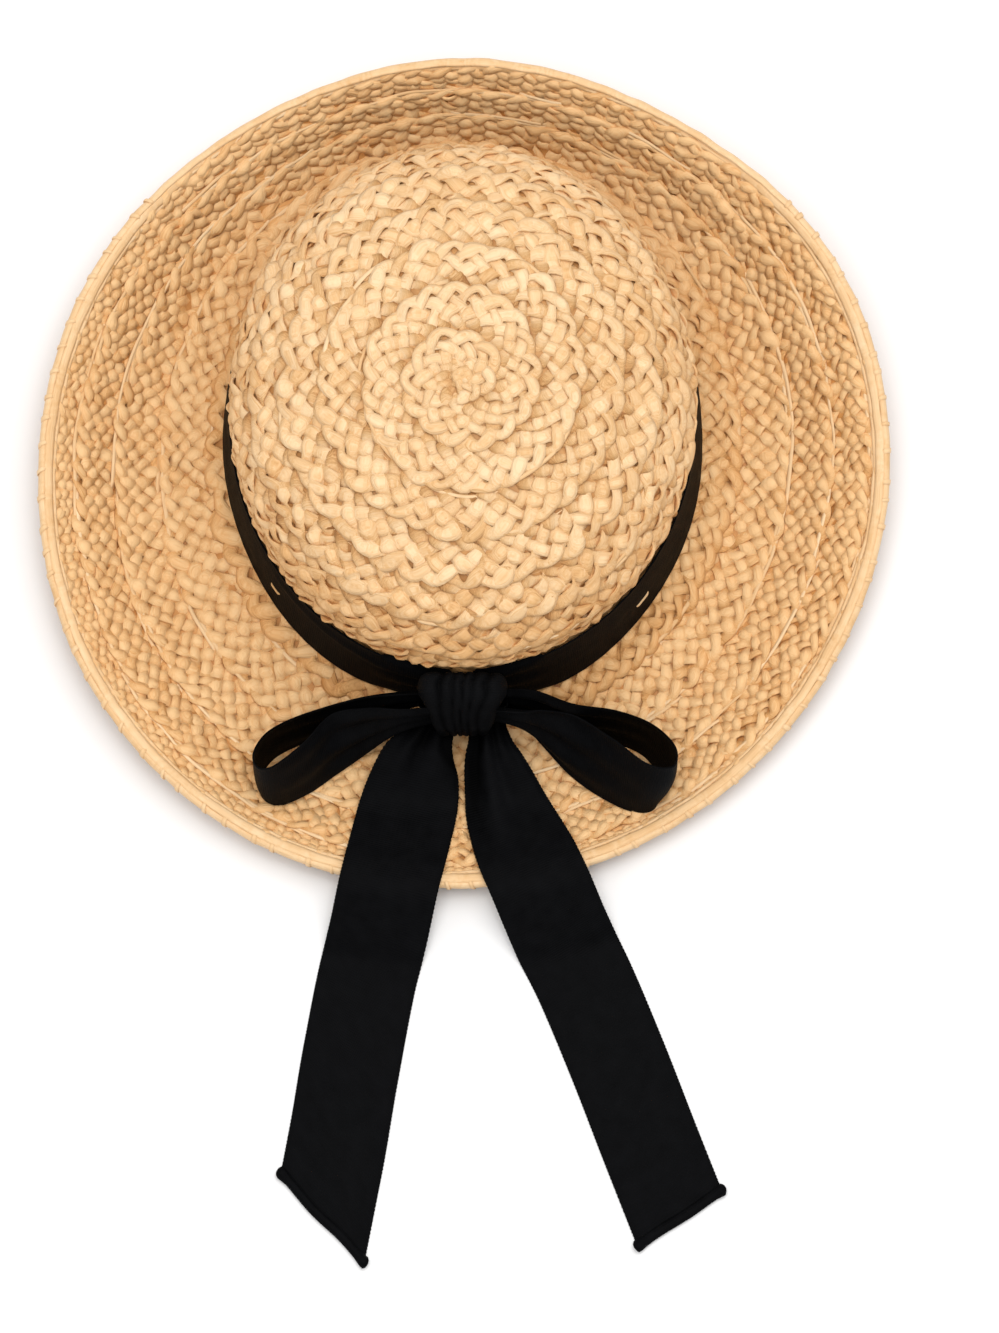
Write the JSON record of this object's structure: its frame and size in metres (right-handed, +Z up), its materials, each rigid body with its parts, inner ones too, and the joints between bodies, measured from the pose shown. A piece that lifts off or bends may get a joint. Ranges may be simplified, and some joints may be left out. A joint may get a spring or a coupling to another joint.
{
  "type": "raffia straw hat",
  "caption": "Round-crowned hat of sewn raffia braid with an upturned brim and a bound rim, a dark ribbon round the crown tied in a front bow with long tails.",
  "frame": {"origin": "middle of the hat's footprint, on the surface that it lies on, with the ribbon's tails counted in", "axes": "+Z up through the crown, +Y from the bow towards the back of the hat, +X to the right seen from the bow's side"},
  "size_m": [0.3164, 0.4498, 0.1038],
  "materials": {
    "straw": "matt natural raffia braid",
    "bound_straw": "smooth pale raffia",
    "ribbon": "matt ribbed ribbon"
  },
  "bodies": {
    "root": {"crown": "straw", "brim": "straw", "rim_binding": "bound_straw", "hat_band": "ribbon", "bow_knot": "ribbon", "bow_loop_left": "ribbon", "bow_loop_right": "ribbon", "tail_left": "ribbon", "tail_right": "ribbon"}
  },
  "joints": []
}
